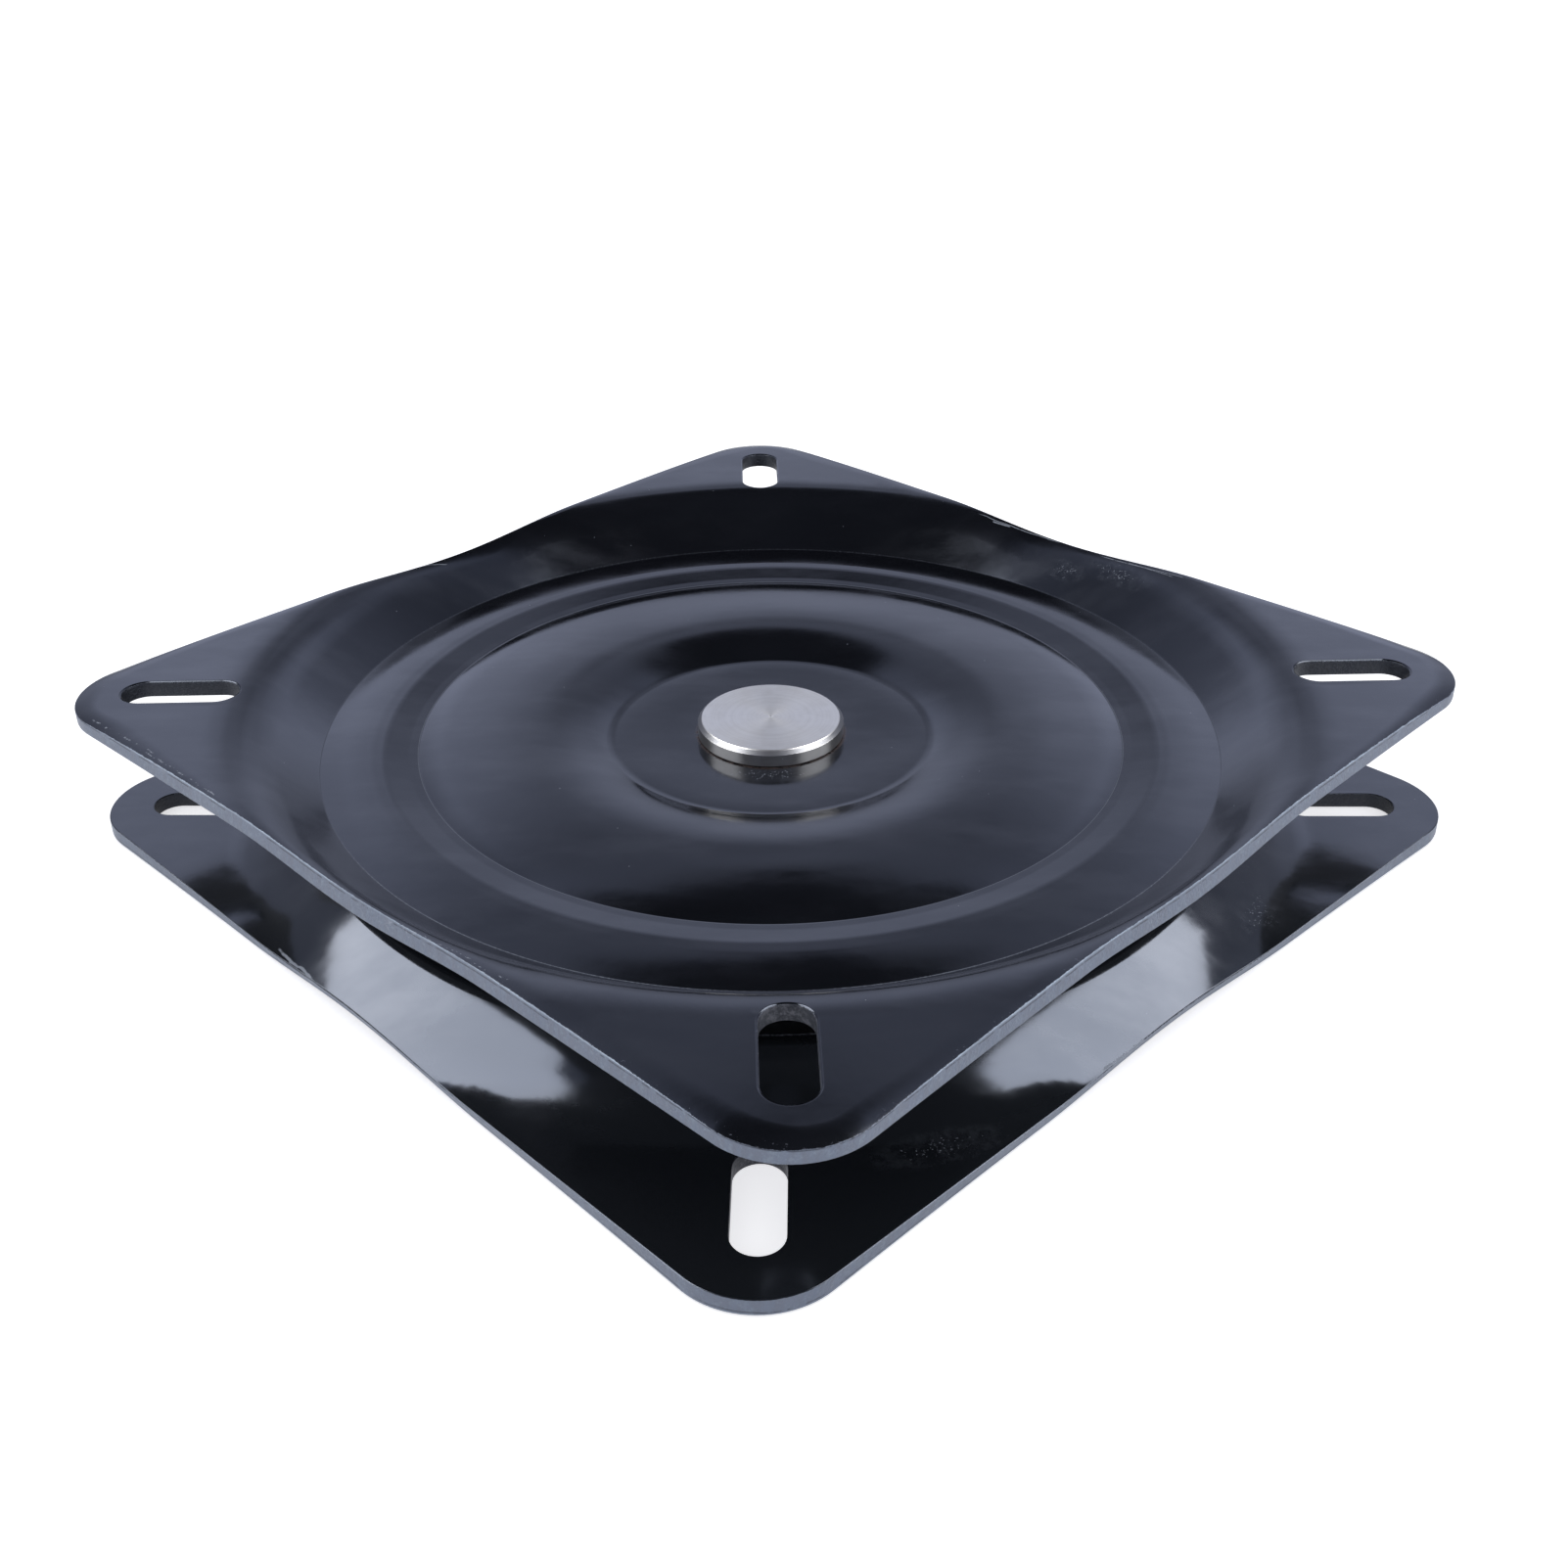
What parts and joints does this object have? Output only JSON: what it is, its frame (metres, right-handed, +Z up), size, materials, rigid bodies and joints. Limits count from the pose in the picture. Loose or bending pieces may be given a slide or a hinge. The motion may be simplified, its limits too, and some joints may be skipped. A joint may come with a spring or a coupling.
{
  "type": "seat swivel plate",
  "caption": "Square seat swivel: two pressed steel plates with slotted corners turning freely on a caged ball race round a riveted centre pin.",
  "frame": {"origin": "on the turning axis, level with the underside of the lower plate's corner wings", "axes": "+Z up along the turning axis; the lower plate's corners point along X and Y; +Y is the corner at the back of the picture"},
  "size_m": [0.2722, 0.2722, 0.0318],
  "materials": {
    "black_paint": "gloss",
    "turned_steel": "satin",
    "plated_steel": "satin",
    "cage_nylon": "satin",
    "ball_steel": "polished"
  },
  "bodies": {
    "base": {"lower_plate": "black_paint"},
    "top": {"upper_plate": "black_paint", "centre_pin": "turned_steel", "bearing_cup": "plated_steel"},
    "main_race": {"ball_cage": "cage_nylon", "race_ball_01": "ball_steel", "race_ball_02": "ball_steel", "race_ball_03": "ball_steel", "race_ball_04": "ball_steel", "race_ball_05": "ball_steel", "race_ball_06": "ball_steel", "race_ball_07": "ball_steel", "race_ball_08": "ball_steel", "race_ball_09": "ball_steel", "race_ball_10": "ball_steel", "race_ball_11": "ball_steel", "race_ball_12": "ball_steel", "race_ball_13": "ball_steel", "race_ball_14": "ball_steel", "race_ball_15": "ball_steel", "race_ball_16": "ball_steel", "race_ball_17": "ball_steel", "race_ball_18": "ball_steel", "race_ball_19": "ball_steel", "race_ball_20": "ball_steel", "race_ball_21": "ball_steel", "race_ball_22": "ball_steel", "race_ball_23": "ball_steel", "race_ball_24": "ball_steel"},
    "thrust_race": {"thrust_ball_01": "ball_steel", "thrust_ball_02": "ball_steel", "thrust_ball_03": "ball_steel", "thrust_ball_04": "ball_steel", "thrust_ball_05": "ball_steel", "thrust_ball_06": "ball_steel", "thrust_ball_07": "ball_steel", "thrust_ball_08": "ball_steel", "thrust_ball_09": "ball_steel", "thrust_ball_10": "ball_steel", "thrust_ball_11": "ball_steel", "thrust_ball_12": "ball_steel", "thrust_ball_13": "ball_steel", "thrust_ball_14": "ball_steel", "thrust_ball_15": "ball_steel", "thrust_ball_16": "ball_steel", "thrust_ball_17": "ball_steel", "thrust_ball_18": "ball_steel"}
  },
  "joints": [
    {"name": "seat_swivel", "type": "hinge", "parent": "base", "child": "top", "pos_m": [0, 0, 0.01592], "axis": [0, 0, 1], "continuous": true},
    {"name": "main_race_turn", "type": "hinge", "parent": "base", "child": "main_race", "pos_m": [0, 0, 0.01592], "axis": [0, 0, 1], "continuous": true},
    {"name": "thrust_race_turn", "type": "hinge", "parent": "base", "child": "thrust_race", "pos_m": [0, 0, 0.00948], "axis": [0, 0, 1], "continuous": true}
  ],
  "couplings": [
    {"joint": "main_race_turn", "follows": "seat_swivel", "ratio": 0.5},
    {"joint": "thrust_race_turn", "follows": "seat_swivel", "ratio": 0.5}
  ]
}
